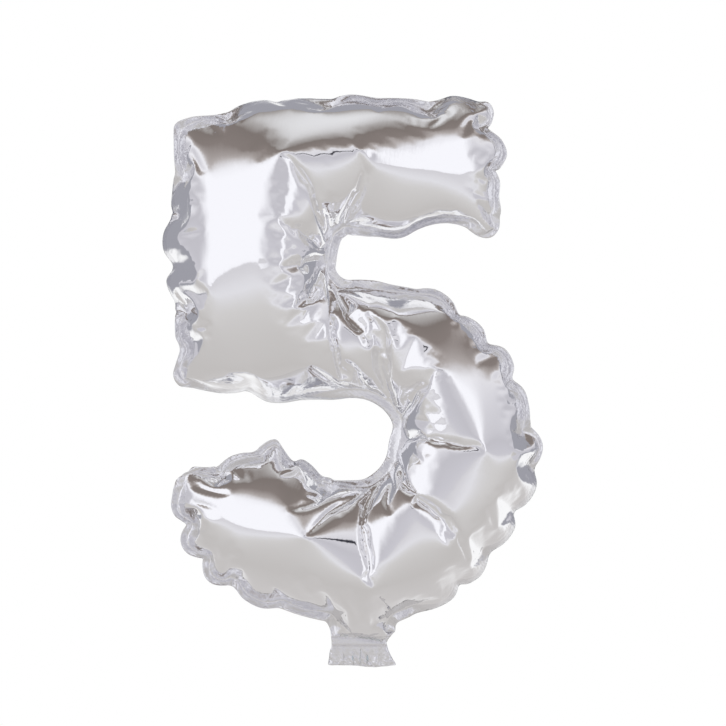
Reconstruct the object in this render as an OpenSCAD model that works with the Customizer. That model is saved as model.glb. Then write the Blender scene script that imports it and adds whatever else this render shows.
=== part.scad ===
// Foil number balloon, figure 5, blown up and hanging upright.
// Two sheets of metallised film are cut to the same figure and heat-sealed round the edge.
// A flat valve of two clear films lies in the filling tail and reaches up into the gas space.
// Units are millimetres. +X is to the figure's right, +Y to its back, +Z up.
// The origin is the middle of the crease where the filling tail leaves the figure.

/* [Figure] */
// Height of the blown-up figure, from the tail's crease to the top edge
figure_h = 323; // [160:1:900]
// Greatest thickness of the blown-up figure, front to back
figure_d = 82; // [40:1:230]
// Width of the flat heat-sealed margin round the figure
seal_w = 6; // [3:0.5:8]

/* [Film] */
// Thickness of the metallised film
film_t = 0.05; // [0.03:0.01:0.2]
// Thickness of the clear valve film
valve_t = 0.04; // [0.03:0.01:0.1]
// Thickness of the release coat printed between the valve films
coat_t = 0.02; // [0.01:0.01:0.04]

/* [Filling tail] */
// Width of the filling tail
tail_w = 38; // [30:1:40]
// Length of the filling tail below its crease
tail_l = 17; // [12:1:40]
// Width of the flat valve tube
valve_w = 26; // [16:1:26]
// Width of each weld along the valve tube's sides
valve_weld_w = 2; // [1:0.5:4]
// Length of the valve inside the figure, above the crease
valve_reach = 58; // [30:1:80]
// Length of the printed release coat
coat_l = 12; // [6:1:12]

/* [Smoothness] */
// Steps between two neighbouring ribs
rib_steps = 2; // [1:1:3]
// Steps across the arch of a panel
arch_steps = 14; // [8:2:20]

/* [Hidden] */

// The figure is a ribbon between two sealed edges. Each rib crosses it from edge A to edge B.
// Edge A runs along the top, down the left side and round the inside of the bowl.
// Edge B runs under the bar, round the notch and round the outside of the bowl.
// A rib is [A x, A z, B x, B z, fullness]. The ribs are drawn for a figure 323 high.
drawn_h = 323;
k = figure_h / drawn_h;

// Bar: upright ribs from its right end to the notch
bar_top = 322;
bar_under = 239;
bar_end = 80;
bar_ribs = [for (s = [0, 0.08, 0.25, 0.5, 0.8])
    let (x = bar_end * (1 - s)) [x, bar_top - 7 * pow(1 - s, 8), x, bar_under, end_swell(s / 0.25)]];

// Block: ribs that fan round the notch, from straight up to nearly straight down
notch = [-10, 229];
notch_r = 10;
block_left = 108;
block_up = 94;
block_down = 84;
block_squareness = 5;
block_ribs = [for (a = [90, 108, 125, 140, 160, 180, 200, 217, 228, 245, 260])
    let (reach = block_reach(a)) [
        notch.x + reach * cos(a), notch[1] + reach * sin(a),
        notch.x + notch_r * cos(a), notch[1] + notch_r * sin(a), 0.97 - 0.1 * abs(sin(2 * a))
    ]];
function block_reach(a) = let (high = sin(a) > 0 ? block_up : block_down) pow(
    pow(abs(cos(a)) / block_left, block_squareness) + pow(abs(sin(a)) / high, block_squareness),
    -1 / block_squareness
);

// Bowl: ribs between two rounds, from its top to the filling tail
bowl_inner = [-11, 118];
bowl_inner_r = 26;
bowl_outer = [7, 113];
bowl_outer_r = 100;
bowl_ribs = [for (a = [82:-16:-78]) [
    bowl_inner.x + bowl_inner_r * cos(a), bowl_inner[1] + bowl_inner_r * sin(a),
    bowl_outer.x + bowl_outer_r * cos(a), bowl_outer[1] + bowl_outer_r * sin(a), 1
]];

// Tail stroke: ribs from the filling tail to the stroke's closed end
stroke_ribs = [
    [-15, 92, 19, 1, 0.97], [-25, 96, -19, 1, 0.97], [-37, 107, -40, 9, 1],
    [-52, 112, -63, 18, 0.95], [-73, 109, -85, 33, 0.9], [-95, 104, -101, 53, 0.75],
    [-111, 96, -111, 72, 0]
];

RIBS = concat(bar_ribs, block_ribs, bowl_ribs, stroke_ribs);

// How full a rib is near a closed end, where the film rounds up from the seal
function end_swell(t) = t >= 1 ? 1 : sqrt(1 - pow(1 - t, 2));

// Half of the clear gap at the tail's crease, so that the tail folds without rubbing
crease_gap = 0.3;
// Half the thickness of the valve tube where it is not welded
valve_half = coat_t / 2 + valve_t;
// Share of a rib's width that its arch rises, when it is full
arch_rise = 0.5;

// A smooth curve through four values, at share t of the way from b to c
function smooth(a, b, c, d, t) =
    b + t / 2 * (c - a + t * (2 * a - 5 * b + 4 * c - d + t * (3 * (b - c) + d - a)));
function rib_at(i) = RIBS[max(0, min(len(RIBS) - 1, i))];
function between(i, t) = [
    for (n = [0:4]) smooth(rib_at(i - 1)[n], rib_at(i)[n], rib_at(i + 1)[n], rib_at(i + 2)[n], t)
];
function all_ribs() = concat(
    [for (i = [0:len(RIBS) - 2]) for (s = [0:rib_steps - 1]) between(i, s / rib_steps)],
    [RIBS[len(RIBS) - 1]]
);

// The valve holds the two panels apart where edge B crosses the tail
function spread_at(b) =
    valve_half * max(0, min(1, (tail_w / 2 + 4 - abs(b.x)) / 4)) * (b.y < 6 ? 1 : 0);

// One row across a panel: [x, y, z] of its outer face, then of its inner face
function row(rib, side) = let (
    a = [rib[0], max(crease_gap, rib[1] * k)] - [rib[0] * (1 - k), 0],
    b = [rib[2], max(crease_gap, rib[3] * k)] - [rib[2] * (1 - k), 0],
    along = (b - a) / norm(b - a),
    half = norm(b - a) / 2 - seal_w,
    mid = (a + b) / 2,
    rise = max(0, rib[4]) * min(arch_rise * 2 * half, figure_d / 2),
    spread = spread_at(b),
    across = [for (i = [0:arch_steps]) 180 * i / arch_steps],
    faces = [for (skin = [film_t, 0]) concat(
        [[-half - seal_w, skin]],
        [for (w = across) [-half * cos(w), skin + rise * sin(w) + spread * (1 - cos(w)) / 2]],
        [[half + seal_w, skin + spread]]
    )]
) [for (face = faces) [for (p = face) [
    mid.x + along.x * p[0], side * p[1], mid.y + along.y * p[0]
]]];

// A closed film swept through the rows, with the arch on one side (1 is the back, -1 the front)
module panel(side) {
    rows = [for (r = all_ribs()) row(r, side)];
    per_face = len(rows[0][0]);
    per_row = 2 * per_face;
    last = len(rows) - 1;
    points = [for (r = rows) for (face = r) for (p = face) p];
    function outer(i, j) = i * per_row + j;
    function inner(i, j) = i * per_row + per_face + j;
    function quad(p, q, r, s) = side > 0 ? [[p, q, r], [p, r, s]] : [[r, q, p], [s, r, p]];
    skins = [for (i = [0:last - 1]) for (j = [0:per_face - 2]) for (f = concat(
        quad(outer(i, j), outer(i, j + 1), outer(i + 1, j + 1), outer(i + 1, j)),
        quad(inner(i, j), inner(i + 1, j), inner(i + 1, j + 1), inner(i, j + 1))
    )) f];
    edges = [for (i = [0:last - 1]) for (f = concat(
        quad(outer(i, 0), outer(i + 1, 0), inner(i + 1, 0), inner(i, 0)),
        quad(outer(i + 1, per_face - 1), outer(i, per_face - 1),
             inner(i, per_face - 1), inner(i + 1, per_face - 1))
    )) f];
    ends = [for (j = [0:per_face - 2]) for (f = concat(
        quad(outer(0, j + 1), outer(0, j), inner(0, j), inner(0, j + 1)),
        quad(outer(last, j), outer(last, j + 1), inner(last, j + 1), inner(last, j))
    )) f];
    polyhedron(points, concat(skins, edges, ends), convexity = 10);
}

// A film between two heights that steps out by a lift in the middle and lies on y = 0 at its sides
module stepped_film(side, width, flat_w, lift, thickness, low, high) {
    slope_w = 0.5;
    inner_line = [
        [-width / 2, 0], [-flat_w / 2 - slope_w, 0], [-flat_w / 2, lift],
        [flat_w / 2, lift], [flat_w / 2 + slope_w, 0], [width / 2, 0]
    ];
    outer_line = [for (i = [len(inner_line) - 1:-1:0]) inner_line[i] + [0, thickness]];
    translate([0, 0, low]) linear_extrude(high - low)
        polygon([for (p = concat(inner_line, outer_line)) [p.x, side * p.y]]);
}

module front_panel() color("silver") panel(-1);
module back_panel() color("silver") panel(1);

module valve_film(side, low, high) {
    stepped_film(side, valve_w, valve_w - 2 * valve_weld_w, coat_t / 2, valve_t, low, high);
}
module valve_front_film() color("whitesmoke") valve_film(-1, crease_gap, valve_reach);
module valve_back_film() color("whitesmoke") valve_film(1, crease_gap, valve_reach);
module tail_valve_front_film() color("whitesmoke") valve_film(-1, -tail_l, -crease_gap);
module tail_valve_back_film() color("whitesmoke") valve_film(1, -tail_l, -crease_gap);

module tail_panel(side) {
    stepped_film(side, tail_w, valve_w + 1, valve_half, film_t, -tail_l, -crease_gap);
}
module tail_front_panel() color("silver") tail_panel(-1);
module tail_back_panel() color("silver") tail_panel(1);

module release_coat() color("lightsteelblue")
    translate([0, 0, -tail_l / 2]) cube([valve_w - 2 * valve_weld_w - 1, coat_t, coat_l], center = true);

front_panel();
back_panel();
valve_front_film();
valve_back_film();
tail_front_panel();
tail_back_panel();
tail_valve_front_film();
tail_valve_back_film();
release_coat();
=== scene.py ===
# Foil number balloon, figure 5. Two films are cut flat, welded, blown up and given their finish.
import math
import bpy
import numpy as np
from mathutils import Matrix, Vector
from mathutils.geometry import delaunay_2d_cdt


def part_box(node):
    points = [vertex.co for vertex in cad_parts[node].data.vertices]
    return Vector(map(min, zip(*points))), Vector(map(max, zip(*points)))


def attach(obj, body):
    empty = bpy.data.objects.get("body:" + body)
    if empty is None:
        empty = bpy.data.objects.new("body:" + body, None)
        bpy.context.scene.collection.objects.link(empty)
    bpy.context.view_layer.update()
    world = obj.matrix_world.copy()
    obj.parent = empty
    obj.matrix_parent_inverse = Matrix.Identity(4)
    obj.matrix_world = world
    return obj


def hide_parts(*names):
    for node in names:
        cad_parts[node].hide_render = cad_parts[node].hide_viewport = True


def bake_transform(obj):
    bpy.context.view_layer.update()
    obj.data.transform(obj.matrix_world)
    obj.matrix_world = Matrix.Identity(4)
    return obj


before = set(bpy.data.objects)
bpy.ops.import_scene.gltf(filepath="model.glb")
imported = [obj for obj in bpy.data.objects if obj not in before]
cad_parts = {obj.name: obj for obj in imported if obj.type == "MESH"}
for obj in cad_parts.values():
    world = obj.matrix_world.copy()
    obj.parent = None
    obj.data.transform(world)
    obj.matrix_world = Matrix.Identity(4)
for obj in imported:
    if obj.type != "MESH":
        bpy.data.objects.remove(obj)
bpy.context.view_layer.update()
mm = 0.001
print("frame loaded with", len(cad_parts), "nodes")

# Sizes are in millimetres unless a note says otherwise. The figure is upright and its front faces -Y.
# The outline is that of the blown-up figure, anticlockwise from the tail's lower left corner.
# Each point is x, z, the corner's radius in the flat film, and how strongly the seal puckers there.
figure = {
    "outline": [
        (-19, -17, 1, 0), (19, -17, 1, 0), (20, 5, 10, 0), (56, 25, 90, 1),
        (92, 70, 95, 1), (107, 107, 95, 1), (83, 173, 90, 0.8), (41, 208, 60, 0.3),
        (-14, 218, 10, 0), (-10, 239, 10, 0), (77, 240, 8, 0.3), (82, 280, 60, 1),
        (77, 318, 10, 0.8), (23, 322, 120, 0.3), (-46, 322, 120, 0.3), (-110, 307, 14, 0.5),
        (-119, 232, 150, 0.9), (-109, 151, 14, 0.6), (-49, 140, 100, 0.2), (8, 139, 35, 0),
        (10, 101, 35, 0), (-22, 96, 20, 0.2), (-54, 117, 12, 0.5), (-109, 95, 14, 1),
        (-107, 67, 60, 1.2), (-94, 37, 60, 1.2), (-55, 17, 60, 0.8), (-20, 5, 10, 0),
    ],
    "roots": (2, 27),            # outline points where the tail leaves the figure
    "notch": (8, 9),             # outline points round the notch under the bar
    "bowl": (19, 20),            # outline points round the inside of the bowl
    "sealWidth": 6,
    "weldDrop": 5,               # the weld across the tail lies this far below its roots
}

# The film draws in as it fills, so the flat cut is larger. Trial blow-ups on a coarse mesh find how much.
cutting = {
    "growth": (1.2, 1.25),       # first guess of the flat cut's width and height against the blown-up ones
    "trials": 7,
    "trialMesh": 6,
    "trialFrames": 28,
    "gain": 0.7,                 # share of each corner's miss that the next trial corrects
    "finalMesh": 2.9,
    "finalFrames": 38,
    "clearance": 0.62,           # share of the mesh size kept free beside the seam and the edge
    "unevenGrid": 0.12,          # share of the mesh size that grid points stray
    "startGap": (0.2, 0.8, 12),  # gap of each film at the seam, its rise, and over what distance
    "startWave": (0.6, 12),      # height of the edge's first ripple and how far in it reaches
    "settleRadius": 6,           # how tightly the film keeps to the outline round each corner
}

folds = {
    "lobeLength": 32,            # the seal puckers at about this spacing
    "lobeDepth": 4,
    "lobeUneven": 0.11,          # unevenness of that spacing, as a share of it
    "pinchShare": 0.9,           # loss of pressure at a pucker
    "pinchWidth": 3,
    "pinchReach": 20,
    "creaseWidth": 4,
    "bowlCreases": [83 - 32 * i for i in range(7)],      # directions in degrees
    "bowlCentre": (-25, 3),      # from the middle of the bowl's inner corners
    "bowlReach": (34, 88),
    "notchCreases": [92, 128, 155, 183, 210, 240],
    "notchReach": (12, 65),
}

foil = {
    "quality": 6,
    "mass": 0.05,
    "tension_stiffness": 80,
    "compression_stiffness": 80,
    "shear_stiffness": 20,
    "bending_stiffness": 0.2,
    "bending_stiffness_max": 2,  # in the sealed margin
    "tension_damping": 5,
    "compression_damping": 5,
    "shear_damping": 5,
    "bending_damping": 0.5,
    "air_damping": 1,
    "uniform_pressure_force": 5,
}


def selectOnly(obj):
    bpy.ops.object.select_all(action="DESELECT")
    obj.select_set(True)
    bpy.context.view_layer.objects.active = obj


def finishWith(obj, kind, **settings):
    selectOnly(obj)
    modifier = obj.modifiers.new(kind.title(), kind)
    for name, value in settings.items():
        setattr(modifier, name, value)
    bpy.ops.object.modifier_apply(modifier=modifier.name)


def meshObject(name, points, faces):
    mesh = bpy.data.meshes.new(name)
    mesh.from_pydata(points.tolist(), [], faces.tolist())
    mesh.update()
    obj = bpy.data.objects.new(name, mesh)
    bpy.context.scene.collection.objects.link(obj)
    return obj


def pointsOf(mesh):
    values = np.zeros(len(mesh.vertices) * 3)
    mesh.vertices.foreach_get("co", values)
    return values.reshape(-1, 3)


def setPoints(obj, points):
    obj.data.vertices.foreach_set("co", points.ravel())
    obj.data.update()


def roundCorners(corners, step=1.5):
    points = []
    middles = []
    for i, corner in enumerate(corners):
        here = np.array(corner[:2])
        before = np.array(corners[i - 1][:2]) - here
        after = np.array(corners[(i + 1) % len(corners)][:2]) - here
        reach = 0.5 * min(np.linalg.norm(before), np.linalg.norm(after))
        before = before / np.linalg.norm(before)
        after = after / np.linalg.norm(after)
        angle = math.acos(np.clip(before @ after, -1, 1))
        if angle > math.pi - 0.02:
            points.append(here)
            middles.append(here)
            continue
        setback = min(corner[2] / math.tan(angle / 2), reach)
        radius = setback * math.tan(angle / 2)
        centre = here + (before + after) / np.linalg.norm(before + after) * radius / math.sin(angle / 2)
        first = here + before * setback - centre
        last = here + after * setback - centre
        start = math.atan2(first[1], first[0])
        sweep = (math.atan2(last[1], last[0]) - start + math.pi) % (2 * math.pi) - math.pi
        steps = max(2, int(abs(sweep) * radius / step))
        for turn in start + sweep * np.arange(steps + 1) / steps:
            points.append(centre + radius * np.array([math.cos(turn), math.sin(turn)]))
        half = start + sweep / 2
        middles.append(centre + radius * np.array([math.cos(half), math.sin(half)]))
    return np.array(points), np.array(middles)


def evenly(loop, spacing):
    closed = np.vstack([loop, loop[:1]])
    along = np.r_[0, np.cumsum(np.linalg.norm(np.diff(closed, axis=0), axis=1))]
    count = int(round(along[-1] / spacing))
    stations = np.arange(count) * along[-1] / count
    return np.c_[np.interp(stations, along, closed[:, 0]), np.interp(stations, along, closed[:, 1])]


def inset(loop, depth):
    along = np.roll(loop, -1, 0) - np.roll(loop, 1, 0)
    along /= np.linalg.norm(along, axis=1)[:, None]
    return loop + np.c_[-along[:, 1], along[:, 0]] * np.reshape(depth, (-1, 1))


def isInside(points, loop):
    x, z = points[:, :1], points[:, 1:]
    x1, z1 = loop.T
    x2, z2 = np.roll(loop, -1, 0).T
    crosses = ((z1 > z) != (z2 > z)) & (x < (x2 - x1) * (z - z1) / (z2 - z1 + 1e-12) + x1)
    return crosses.sum(1) % 2 == 1


def fromSegment(points, start, end):
    run = end - start
    share = np.clip(((points - start) @ run) / (run @ run + 1e-12), 0, 1)
    return np.linalg.norm(points - (start + share[:, None] * run), axis=1), share


def fromLoop(points, loop):
    nearest = np.full(len(points), 1e9)
    for start, end in zip(loop, np.roll(loop, -1, 0)):
        nearest = np.minimum(nearest, fromSegment(points, start, end)[0])
    return nearest


def nearestIndex(points, loop):
    return np.concatenate([
        ((points[i:i + 2000, None] - loop[None]) ** 2).sum(2).argmin(1) for i in range(0, len(points), 2000)
    ])


# The cut's edge, with small cusps where the seal will pucker
def scallopedEdge(corners):
    smooth, middles = roundCorners(corners)
    smooth = evenly(smooth, 1)
    count = len(smooth)
    at = nearestIndex(middles, smooth)
    order = np.argsort(at)
    strengths = np.array([c[3] for c in corners])[order]
    where = np.concatenate([at[order] - count, at[order], at[order] + count])
    strength = np.interp(np.arange(count), where, np.tile(strengths, 3))
    lobes = round(count / folds["lobeLength"])
    uneven = np.random.default_rng(3).uniform(-1, 1, lobes + 1) * folds["lobeUneven"]
    uneven[-1] = uneven[0]
    phase = np.arange(count) * lobes / count
    phase = phase + np.interp(phase, np.arange(lobes + 1), uneven)
    depth = folds["lobeDepth"] * strength * (1 - np.abs(np.sin(np.pi * phase)) ** 0.7)
    return {"edge": inset(smooth, depth), "middles": middles, "phase": phase, "strength": strength}


# Two skins that share the welded seam, and one layer for the sealed margin and the tail
def cutFilm(corners, size):
    cut = scallopedEdge(corners)
    edge = evenly(cut["edge"], size)
    margin = figure["sealWidth"]
    seam = evenly(inset(evenly(cut["edge"], 1.5), margin), 1)
    seam = seam[fromLoop(seam, cut["edge"]) > margin * 0.93]
    roots = np.array([corners[i][:2] for i in figure["roots"]]).mean(0)
    weldLine = roots[1] - figure["weldDrop"]
    seam = seam[(seam[:, 1] > weldLine) | (np.abs(seam[:, 0] - roots[0]) > 45)]
    seam = evenly(seam, size)
    low, high = edge.min(0), edge.max(0)
    rows = np.arange(low[1], high[1], size * math.sqrt(3) / 2)
    grid = np.array([(x + size / 2 * (j % 2), z) for j, z in enumerate(rows)
                     for x in np.arange(low[0], high[0], size)])
    stray = cutting["unevenGrid"]
    grid += np.random.default_rng(5).uniform(-stray, stray, grid.shape) * size
    grid = grid[isInside(grid, edge)]
    clear = cutting["clearance"] * size
    grid = grid[(fromLoop(grid, seam) > clear) & (fromLoop(grid, edge) > clear)]
    seamEdges = [(i, (i + 1) % len(seam)) for i in range(len(seam))]
    outerEdges = [(len(seam) + i, len(seam) + (i + 1) % len(edge)) for i in range(len(edge))]
    allPoints = [Vector(p) for p in np.vstack([seam, edge, grid])]
    made = delaunay_2d_cdt(allPoints, seamEdges + outerEdges, [], 1, 1e-6)
    spots = np.array([tuple(v) for v in made[0]])
    faces = np.array([tuple(f) for f in made[2]])
    one, two, three = (spots[faces[:, i]] for i in range(3))
    area = np.cross(two - one, three - one)
    faces[area < 0] = faces[area < 0][:, ::-1]
    centres = spots[faces].mean(1)
    inSkin = isInside(centres, seam)
    inMargin = ~inSkin & isInside(centres, edge)
    seamGap = fromLoop(spots, seam)
    onSeam = seamGap < 1e-4
    own = np.where(isInside(spots, seam) & ~onSeam)[0]     # points that each skin has for itself
    twin = np.arange(len(spots))
    twin[own] = len(spots) + np.arange(len(own))
    every = np.concatenate([np.arange(len(spots)), own])
    side = np.zeros(len(every))
    side[own] = -1
    side[len(spots):] = 1
    cut.update({
        "flat": spots[every],
        "side": side,
        "seamGap": seamGap[every],
        "filled": (side != 0) | onSeam[every],
        "rim": np.where(fromLoop(spots, edge) < 1e-4)[0],
        "front": faces[inSkin],
        "back": twin[faces[inSkin]][:, ::-1],
        "margin": faces[inMargin],
        "area": np.abs(area[inSkin | inMargin]).sum() / 2,
        "size": high - low,
        "weldLine": weldLine,
        "corners": np.array([c[:2] for c in corners]),
    })
    nearest = nearestIndex(cut["flat"], cut["edge"])
    cut["edgeGap"] = np.linalg.norm(cut["flat"] - cut["edge"][nearest], axis=1)
    cut["phase"] = cut["phase"][nearest]
    cut["strength"] = cut["strength"][nearest]
    return cut


# Film gives way first along lines with less pressure behind them, so these set where folds form
def pressureShare(cut):
    flat = cut["flat"]
    fromCusp = np.abs(cut["phase"] - np.round(cut["phase"])) * folds["lobeLength"]
    pinch = np.clip(1 - (fromCusp / folds["pinchWidth"]) ** 2, 0, 1)
    pinch *= np.clip(1 - (cut["edgeGap"] - figure["sealWidth"]) / folds["pinchReach"], 0, 1)
    pinch *= np.minimum(1, 1.5 * cut["strength"])
    crease = np.zeros(len(flat))
    fans = (("bowl", folds["bowlCentre"]), ("notch", (0, 0)))
    for name, shift in fans:
        centre = cut["corners"][list(figure[name])].mean(0) + shift
        near, far = folds[name + "Reach"]
        for angle in np.radians(folds[name + "Creases"]):
            way = np.array([math.cos(angle), math.sin(angle)])
            gap, share = fromSegment(flat, centre + way * near, centre + way * far)
            crease = np.maximum(crease, np.exp(-(gap / folds["creaseWidth"]) ** 2) * (1 - 0.5 * share))
    return np.clip(1 - folds["pinchShare"] * pinch - crease, 0, 1)


def blowUp(corners, size, frames):
    cut = cutFilm(corners, size)
    share = pressureShare(cut)
    simUnit = 0.01                # scene units to a millimetre while the film fills
    start = np.zeros((len(cut["flat"]), 3))
    start[:, [0, 2]] = cut["flat"]
    gap, rise, riseReach = cutting["startGap"]
    wave, waveReach = cutting["startWave"]
    start[:, 1] = cut["side"] * (gap + rise * np.minimum(cut["seamGap"], riseReach) / riseReach)
    start[:, 1] += wave * np.cos(np.pi * cut["phase"]) * np.exp(-(cut["edgeGap"] / waveReach) ** 2)
    blank = meshObject("blank", start * simUnit, np.vstack([cut["front"], cut["back"], cut["margin"]]))
    gas = blank.vertex_groups.new(name="gas")
    for i in np.where(cut["filled"])[0]:
        gas.add([int(i)], float(share[i]), "ADD")
    weld = blank.vertex_groups.new(name="weld")
    weld.add([int(i) for i in np.unique(cut["margin"])], 1.0, "ADD")
    selectOnly(blank)
    cloth = blank.modifiers.new("Cloth", "CLOTH")
    for name, value in foil.items():
        setattr(cloth.settings, name, value)
    cloth.settings.bending_model = "ANGULAR"
    cloth.settings.vertex_group_bending = "weld"
    cloth.settings.use_pressure = True
    cloth.settings.vertex_group_pressure = "gas"
    cloth.settings.effector_weights.gravity = 0
    cloth.collision_settings.use_collision = False
    cloth.collision_settings.use_self_collision = False
    scene = bpy.context.scene
    scene.frame_end = frames
    cloth.point_cache.frame_start = 1
    cloth.point_cache.frame_end = frames
    for f in range(1, frames + 1):
        scene.frame_set(f)
    blown = pointsOf(blank.evaluated_get(bpy.context.evaluated_depsgraph_get()).data) / simUnit
    bpy.data.objects.remove(blank, do_unlink=True)
    scene.frame_set(1)
    return cut, hang(cut, blown)


def meanNear(rim, rimFlat, middle):
    nearest = np.argsort(np.linalg.norm(rimFlat - middle, axis=1))[:5]
    return rim[nearest].mean(0)


# Turns and shifts the blown-up film so that it hangs as the outline does, and finds each corner's miss
def hang(cut, blown):
    rim = blown[cut["rim"]][:, [0, 2]]
    rimFlat = cut["flat"][cut["rim"]]
    found = np.array([meanNear(rim, rimFlat, middle) for middle in cut["middles"]])
    wanted = np.array([c[:2] for c in figure["outline"]], float)
    centre, target = found.mean(0), wanted.mean(0)
    left, _, right = np.linalg.svd((found - centre).T @ (wanted - target))
    turn = right.T @ np.diag([1, np.linalg.det(right.T @ left.T)]) @ left.T
    placed = blown.copy()
    placed[:, [0, 2]] = (blown[:, [0, 2]] - centre) @ turn.T + target
    miss = wanted - ((found - centre) @ turn.T + target)
    return {"points": placed, "miss": miss, "middles": cut["middles"]}


def findCut():
    growth = np.array(cutting["growth"])
    corners = [(*(np.array(c[:2]) * growth), c[2], c[3]) for c in figure["outline"]]
    best = None
    trials = cutting["trials"]
    for trial in range(trials):
        result = blowUp(corners, cutting["trialMesh"], cutting["trialFrames"])[1]
        size = float(np.sqrt((result["miss"] ** 2).sum(1).mean()))
        print(f"trial {trial + 1}: corners miss by {size:.1f} mm")
        if best is None or size < best[0]:
            best = (size, corners)
        steps = result["miss"] * cutting["gain"]
        corners = [(c[0] + s[0], c[1] + s[1], c[2], c[3]) for c, s in zip(corners, steps)]
    return best[1]


# The last few millimetres of each corner's miss are shared out smoothly over the film nearby
def settle(cut, hung):
    gaps = np.linalg.norm(cut["flat"][:, None] - hung["middles"][None], axis=2)
    weight = 1 / (gaps ** 2 + cutting["settleRadius"] ** 2) ** 2
    shift = (weight / weight.sum(1, keepdims=True)) @ hung["miss"]
    points = hung["points"].copy()
    points[:, [0, 2]] += shift
    depth = (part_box("back_panel")[1].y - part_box("front_panel")[0].y) / mm
    points[:, 1] *= depth / np.ptp(points[:, 1])
    return points


corners = findCut()
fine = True
cut, hung = blowUp(corners, cutting["finalMesh" if fine else "trialMesh"], cutting["finalFrames"])
finalMiss = np.sqrt((hung["miss"] ** 2).sum(1).mean())
print(f"blown up: {len(cut['flat'])} points, corners miss by {finalMiss:.1f} mm before they settle")
filled = settle(cut, hung)
print("filled size", np.ptp(filled, axis=0).round(1), "flat size", cut["size"].round(1))

tail = {
    "fluteLength": 5.2,          # spacing of the gathers at the open end
    "fluteDepth": 0.7,
    "mouthSlant": 0.2,           # share that is kept of how far the open end droops
    "filmGap": 0.3,              # from the middle of the tail to each film's inner face
    "bendStart": (0, 0, 1.5),
    "bendEnd": (0, 0, -2.5),
}


def flutes(x, z):
    grow = np.clip((-z - 4) / 9, 0, 1)
    return tail["fluteDepth"] * grow * np.sin(2 * np.pi * x / tail["fluteLength"] + 1.1 * np.sin(x / 4))


# In the tail the layers lie flat on each other, gathered a little towards the open end
def layTail(points, flat, side, gap):
    below = np.clip((cut["weldLine"] + 1 - flat[:, 1]) / 5, 0, 1)
    spread = np.clip((8 - points[:, 2]) / 6, 0, 1) * np.clip((24 - np.abs(points[:, 0])) / 4, 0, 1)
    points = points.copy()
    points[:, 1] = points[:, 1] * (1 - below) + side * gap * spread
    points[:, 1] += below * flutes(points[:, 0], points[:, 2])
    mouth = figure["outline"][0][1]
    past = np.minimum(points[:, 2] - mouth, 0)
    points[:, 2] -= past * (1 - tail["mouthSlant"])
    return points


def makeFilm(name, side, skin):
    faces = np.vstack([skin, cut["margin"] if side < 0 else cut["margin"][:, ::-1]])
    used, index = np.unique(faces, return_inverse=True)
    points = layTail(filled[used], cut["flat"][used], side, tail["filmGap"])
    obj = meshObject(name, points * mm, index.reshape(faces.shape))
    gap = obj.data.attributes.new("seamGap", "FLOAT", "POINT")
    signed = np.where(cut["filled"][used], cut["seamGap"][used], -cut["seamGap"][used])
    gap.data.foreach_set("value", signed.astype(np.float32))
    uv = obj.data.uv_layers.new(name="flat")
    vertexOf = np.zeros(len(obj.data.loops), int)
    obj.data.loops.foreach_get("vertex_index", vertexOf)
    uv.data.foreach_set("uv", (cut["flat"][used][vertexOf] / 100).astype(np.float32).ravel())
    finishWith(obj, "SUBSURF", levels=1, render_levels=1)
    finishWith(obj, "SOLIDIFY", thickness=0.1 * mm, offset=1)
    selectOnly(obj)
    bpy.ops.object.shade_smooth()
    return obj


def crossesTail(obj):
    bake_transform(obj)


def declareFilm():
    width, length = cut["size"] * mm


frontFilm = makeFilm("frontFilm", -1, cut["front"])
crossesTail(frontFilm)
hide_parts("front_panel", "tail_front_panel")
declareFilm()

backFilm = makeFilm("backFilm", 1, cut["back"])
crossesTail(backFilm)
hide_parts("back_panel", "tail_back_panel")
declareFilm()
print("films made")

valve = {
    "width": 26,
    "top": 58,
    "bottom": -17,
    "gap": 0.12,                 # from the middle of the tail to each valve film
    "thickness": 0.04,
    "cells": (13, 38),
}


def makeValveFilm(name, side, *nodes):
    height = valve["top"] - valve["bottom"]
    bpy.ops.object.select_all(action="DESELECT")
    bpy.ops.mesh.primitive_grid_add(x_subdivisions=valve["cells"][0], y_subdivisions=valve["cells"][1],
                                    size=mm, rotation=(math.radians(90), 0, 0))
    obj = bpy.context.object
    obj.name = name
    obj.scale = (valve["width"], height, 1)
    obj.location.z = (valve["top"] + valve["bottom"]) / 2 * mm
    bpy.ops.object.transform_apply(location=True, rotation=True, scale=True)
    points = pointsOf(obj.data) / mm
    points[:, 1] = side * valve["gap"] + flutes(points[:, 0], points[:, 2])
    setPoints(obj, points * mm)
    finishWith(obj, "SOLIDIFY", thickness=valve["thickness"] * mm, offset=0)
    selectOnly(obj)
    bpy.ops.object.shade_smooth()
    crossesTail(obj)
    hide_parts(*nodes)
    return obj


valveFront = makeValveFilm("valveFrontFilm", -1, "valve_front_film", "tail_valve_front_film")
valveBack = makeValveFilm("valveBackFilm", 1, "valve_back_film", "tail_valve_back_film")

coat = {"width": 21, "top": -2.5, "bottom": -14.5, "thickness": 0.02}


def makeCoat():
    bpy.ops.object.select_all(action="DESELECT")
    bpy.ops.mesh.primitive_grid_add(x_subdivisions=21, y_subdivisions=8, size=mm,
                                    rotation=(math.radians(90), 0, 0))
    obj = bpy.context.object
    obj.name = "releaseCoat"
    obj.scale = (coat["width"], coat["top"] - coat["bottom"], 1)
    obj.location.z = (coat["top"] + coat["bottom"]) / 2 * mm
    bpy.ops.object.transform_apply(location=True, rotation=True, scale=True)
    points = pointsOf(obj.data) / mm
    points[:, 1] = flutes(points[:, 0], points[:, 2])
    setPoints(obj, points * mm)
    finishWith(obj, "SOLIDIFY", thickness=coat["thickness"] * mm, offset=0)
    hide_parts("release_coat")
    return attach(obj, "tail")


releaseCoat = makeCoat()
print("valve and release coat made")


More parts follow.
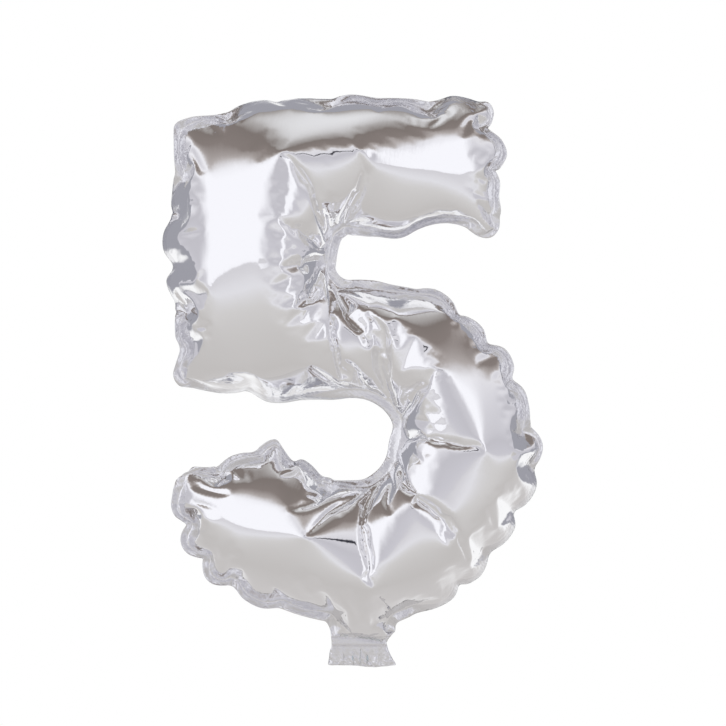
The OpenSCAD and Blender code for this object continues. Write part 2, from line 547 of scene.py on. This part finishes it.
# A value in a shader, so that shader maths reads as plain expressions
class Signal:
    def __init__(self, painter, socket):
        self.painter = painter
        self.socket = socket

    def maths(self, operation, first, second):
        return self.painter.node("ShaderNodeMath", {"operation": operation}, {0: first, 1: second})

    def __add__(self, other):
        return self.maths("ADD", self, other)

    def __sub__(self, other):
        return self.maths("SUBTRACT", self, other)

    def __rsub__(self, other):
        return self.maths("SUBTRACT", other, self)

    def __mul__(self, other):
        return self.maths("MULTIPLY", self, other)

    def __truediv__(self, other):
        return self.maths("DIVIDE", self, other)

    def __pow__(self, other):
        return self.maths("POWER", self, other)

    def __abs__(self):
        return self.maths("ABSOLUTE", self, 0.0)

    __radd__ = __add__
    __rmul__ = __mul__


class Painter:
    def __init__(self, tree):
        self.tree = tree
        tree.nodes.clear()

    def node(self, kind, settings=None, values=None, output=0):
        made = self.tree.nodes.new(kind)
        for name, value in (settings or {}).items():
            if name == "stops":
                self.setStops(made.color_ramp, value)
            else:
                setattr(made, name, value)
        for key, value in (values or {}).items():
            if isinstance(value, Signal):
                self.tree.links.new(value.socket, made.inputs[key])
            else:
                made.inputs[key].default_value = value
        return Signal(self, made.outputs[output]) if made.outputs else None

    def setStops(self, ramp, stops):
        while len(ramp.elements) > 1:
            ramp.elements.remove(ramp.elements[0])
        ramp.elements[0].position = stops[0][0]
        ramp.elements[0].color = (*stops[0][1], 1)
        for position, colour in stops[1:]:
            ramp.elements.new(position).color = (*colour, 1)

    def ramp(self, value, low, high):
        spread = {"Value": value, "From Min": low, "From Max": high}
        return self.node("ShaderNodeMapRange", {"interpolation_type": "SMOOTHSTEP"}, spread)

    def blendColours(self, share, first, second):
        return self.node("ShaderNodeMix", {"data_type": "RGBA"}, {0: share, 6: first, 7: second}, output=2)

    def axes(self, vector):
        split = self.node("ShaderNodeSeparateXYZ", None, {0: vector}).socket.node
        return [Signal(self, s) for s in split.outputs]


def newMaterial(name):
    material = bpy.data.materials.new(name)
    material.use_nodes = True
    return material, Painter(material.node_tree)


def coatPieces(material, *pieces):
    for piece in pieces:
        piece.data.materials.clear()
        piece.data.materials.append(material)


silver = {
    "tone": (0.93, 0.93, 0.945, 1),
    "weldTone": (0.84, 0.84, 0.86, 1),
    "roughness": 0.045,
    "weldRoughness": 0.16,
    "crinkle": 0.35,
    "streak": 0.12,
}


def silverFilm(name, tone, weldTone):
    material, painter = newMaterial(name)
    flat = painter.node("ShaderNodeTexCoord", output=2)
    place = painter.node("ShaderNodeTexCoord", output=3)
    x, y, z = painter.axes(place)
    gap = painter.node("ShaderNodeAttribute", {"attribute_name": "seamGap"}, output=2)
    weld = 1 - painter.ramp(gap, -0.8, 0.4)
    nearSeam = 1 - painter.ramp(gap, 1.0, 16.0)
    stretch = painter.node("ShaderNodeMapping", None, {"Vector": flat, "Scale": (9.0, 1.6, 1.0)})
    streaks = painter.node("ShaderNodeTexNoise", None, {"Vector": stretch, "Scale": 4.0, "Detail": 3.0})
    cells = painter.node("ShaderNodeTexNoise", None, {"Vector": flat, "Scale": 26.0, "Detail": 2.0})
    ridges = 1 - abs(cells - 0.5) * 3.2
    knurl = painter.node("ShaderNodeTexWave", {"wave_type": "BANDS", "bands_direction": "DIAGONAL"},
                         {"Vector": flat, "Scale": 24.0})
    weldBar = 1 - painter.ramp(abs(abs(z + 0.0030) - 0.0024), 0.0002, 0.0007)
    inTail = painter.ramp(z * -1, -0.0008, 0.0004)
    height = ridges * nearSeam * silver["crinkle"] + streaks * silver["streak"]
    height = height + knurl * weld * 0.10 - weldBar * inTail * 0.9
    bump = painter.node("ShaderNodeBump", None, {"Strength": 0.5, "Distance": 0.0005, "Height": height})
    scuff = painter.node("ShaderNodeTexNoise", None, {"Vector": place, "Scale": 60.0, "Detail": 4.0})
    roughness = silver["roughness"] + weld * silver["weldRoughness"] + scuff * 0.03
    shader = painter.node("ShaderNodeBsdfPrincipled", None, {
        "Base Color": painter.blendColours(weld, tone, weldTone),
        "Metallic": 1.0,
        "Roughness": roughness,
        "Normal": bump,
    })
    painter.node("ShaderNodeOutputMaterial", None, {"Surface": shader})
    return material


coatPieces(silverFilm("silverFilm", silver["tone"], silver["weldTone"]), frontFilm)
coatPieces(silverFilm("silverFilmBack", silver["tone"], silver["weldTone"]), backFilm)


def clearFilm():
    material, painter = newMaterial("valveFilm")
    place = painter.node("ShaderNodeTexCoord", output=3)
    haze = painter.node("ShaderNodeTexNoise", None, {"Vector": place, "Scale": 90.0, "Detail": 3.0})
    sideways = painter.axes(place)[0]
    welded = painter.ramp(abs(sideways), 0.0108, 0.0112)
    clear = (0.90, 0.92, 0.93, 1)
    milky = (0.97, 0.97, 0.96, 1)
    shader = painter.node("ShaderNodeBsdfPrincipled", None, {
        "Base Color": painter.blendColours(welded, clear, milky),
        "Roughness": 0.14 + haze * 0.12 + welded * 0.15,
        "Alpha": 0.34 + haze * 0.12 + welded * 0.25,
    })
    painter.node("ShaderNodeOutputMaterial", None, {"Surface": shader})
    return material


def inkCoat():
    material, painter = newMaterial("releaseCoat")
    place = painter.node("ShaderNodeTexCoord", output=3)
    grain = painter.node("ShaderNodeTexNoise", None, {"Vector": place, "Scale": 400.0, "Detail": 2.0})
    shader = painter.node("ShaderNodeBsdfPrincipled", None, {
        "Base Color": painter.blendColours(grain, (0.55, 0.66, 0.74, 1), (0.68, 0.77, 0.83, 1)),
        "Roughness": 0.45 + grain * 0.2,
    })
    painter.node("ShaderNodeOutputMaterial", None, {"Surface": shader})
    return material


coatPieces(clearFilm(), valveFront, valveBack)
coatPieces(inkCoat(), releaseCoat)
print("finishes made")

# The studio is in metres
studio = {
    "floor": -0.10,
    "halfWidth": 5.0,
    "near": -3.0,
    "far": 1.7,
    "sweep": 0.7,                # radius of the curve between floor and backdrop
    "top": 4.0,
    # painted shade on the backdrop's glowing sides and top, for the silver to mirror
    "outerPaintedShade": (0.36, 0.36, 0.40, 1),                # of the backdrop's sides and top
    # painted light and shade that the floor glows with, greyer in front and white at the foot of the
    # backdrop, for the silver to mirror; from the near edge of the floor to the foot of the backdrop: place
    # in metres along Y, colour
    "paintedLightTones": [
        (-3.0, (0.66, 0.65, 0.68)), (-1.7, (0.72, 0.71, 0.74)), (-0.95, (0.79, 0.785, 0.815)),
        (-0.55, (0.66, 0.645, 0.635)), (-0.1, (0.57, 0.55, 0.535)), (0.05, (0.62, 0.60, 0.59)),
        (0.24, (1.0, 1.0, 1.0)),
    ],
}


def makeBackdrop():
    curve = np.linspace(0, math.pi / 2, 13)
    floorLine = [(studio["near"], studio["floor"])]
    sweep = studio["sweep"]
    away = studio["far"] - sweep * (1 - np.sin(curve))
    rise = studio["floor"] + sweep * (1 - np.cos(curve))
    bend = list(zip(away, rise))
    line = np.array(floorLine + bend + [(studio["far"], studio["top"])])
    points = np.array([(x, y, z) for y, z in line for x in (-studio["halfWidth"], studio["halfWidth"])])
    faces = np.array([(2 * i, 2 * i + 1, 2 * i + 3, 2 * i + 2) for i in range(len(line) - 1)])
    obj = meshObject("backdrop", points, faces)
    selectOnly(obj)
    bpy.ops.object.shade_smooth()
    material, painter = newMaterial("backdrop")
    x, y, z = painter.axes(painter.node("ShaderNodeTexCoord", output=3))
    reach = studio["far"] - studio["near"]
    # Painted light and shade: the glow greys along the floor in front and on the outer sides and top, and
    # is white behind the figure, for the silver to mirror
    stops = [((place - studio["near"]) / reach, tone) for place, tone in studio["paintedLightTones"]]
    tone = painter.node("ShaderNodeValToRGB", {"stops": stops}, {0: (y - studio["near"]) / reach})
    outside = painter.ramp(abs(x), 0.75, 1.5) + painter.ramp(z, 0.85, 1.6)
    shade = painter.node("ShaderNodeMath", {"operation": "MINIMUM"}, {0: outside, 1: 1.0})
    tone = painter.blendColours(shade * painter.ramp(y, -0.2, 0.5), tone, studio["outerPaintedShade"])
    glow = painter.node("ShaderNodeEmission", None, {"Color": tone, "Strength": 1.0})
    painter.node("ShaderNodeOutputMaterial", None, {"Surface": glow})
    coatPieces(material, obj)


# What the silver mirrors: a pale room, a taupe ceiling, soft boxes to the sides and a thin dark rail
def makeRoom():
    world = bpy.data.worlds.new("room")
    bpy.context.scene.world = world
    world.use_nodes = True
    painter = Painter(world.node_tree)
    way = painter.node("ShaderNodeTexCoord", output=0)
    x, y, z = painter.axes(way)
    walls = painter.node("ShaderNodeValToRGB", {"stops": [
        (0.00, (0.55, 0.53, 0.515)), (0.30, (0.57, 0.55, 0.54)), (0.42, (0.70, 0.69, 0.72)),
        (0.50, (0.61, 0.60, 0.645)), (0.58, (0.57, 0.56, 0.60)), (0.68, (0.72, 0.71, 0.75)),
        (0.74, (0.80, 0.79, 0.82)), (0.79, (0.46, 0.42, 0.405)), (0.85, (0.25, 0.215, 0.20)),
        (0.93, (0.22, 0.19, 0.175)), (0.97, (0.45, 0.43, 0.42)), (1.00, (0.80, 0.80, 0.81)),
    ]}, {0: z * 0.5 + 0.5})
    leftBox = painter.ramp(x * -1, 0.10, 0.50) * (1 - painter.ramp(x * -1, 0.82, 0.96))
    leftBox = leftBox * painter.ramp(z, -0.70, -0.20) * (1 - painter.ramp(z, 0.40, 0.62))
    rightBox = painter.ramp(x, 0.44, 0.56) * (1 - painter.ramp(x, 0.66, 0.80))
    rightBox = rightBox * painter.ramp(z, -0.55, -0.15) * (1 - painter.ramp(z, 0.35, 0.60))
    lit = painter.blendColours(leftBox + rightBox, walls, (1.0, 1.0, 1.04, 1))
    rail = painter.ramp(z, 0.300, 0.312) * (1 - painter.ramp(z, 0.345, 0.357)) * painter.ramp(x, 0.02, 0.06)
    rail = rail * (1 - painter.ramp(x, 0.36, 0.40))
    lit = painter.blendColours(rail, lit, (0.02, 0.02, 0.03, 1))
    glow = painter.node("ShaderNodeBackground", None, {"Color": lit, "Strength": 1.0})
    painter.node("ShaderNodeOutputWorld", None, {"Surface": glow})


camera = {"centre": (0.6, 163.8), "viewWidth": 435.6, "lens": 100}


def placeCamera():
    data = bpy.data.cameras.new("camera")
    data.lens = camera["lens"]
    data.sensor_width = 36
    obj = bpy.data.objects.new("camera", data)
    distance = camera["viewWidth"] * mm * camera["lens"] / data.sensor_width
    obj.location = (camera["centre"][0] * mm, -distance, camera["centre"][1] * mm)
    obj.rotation_euler = (math.radians(90), 0, 0)
    bpy.context.scene.collection.objects.link(obj)
    bpy.context.scene.camera = obj


makeBackdrop()
makeRoom()
placeCamera()
bpy.context.scene.view_settings.view_transform = "Standard"
print("studio set")
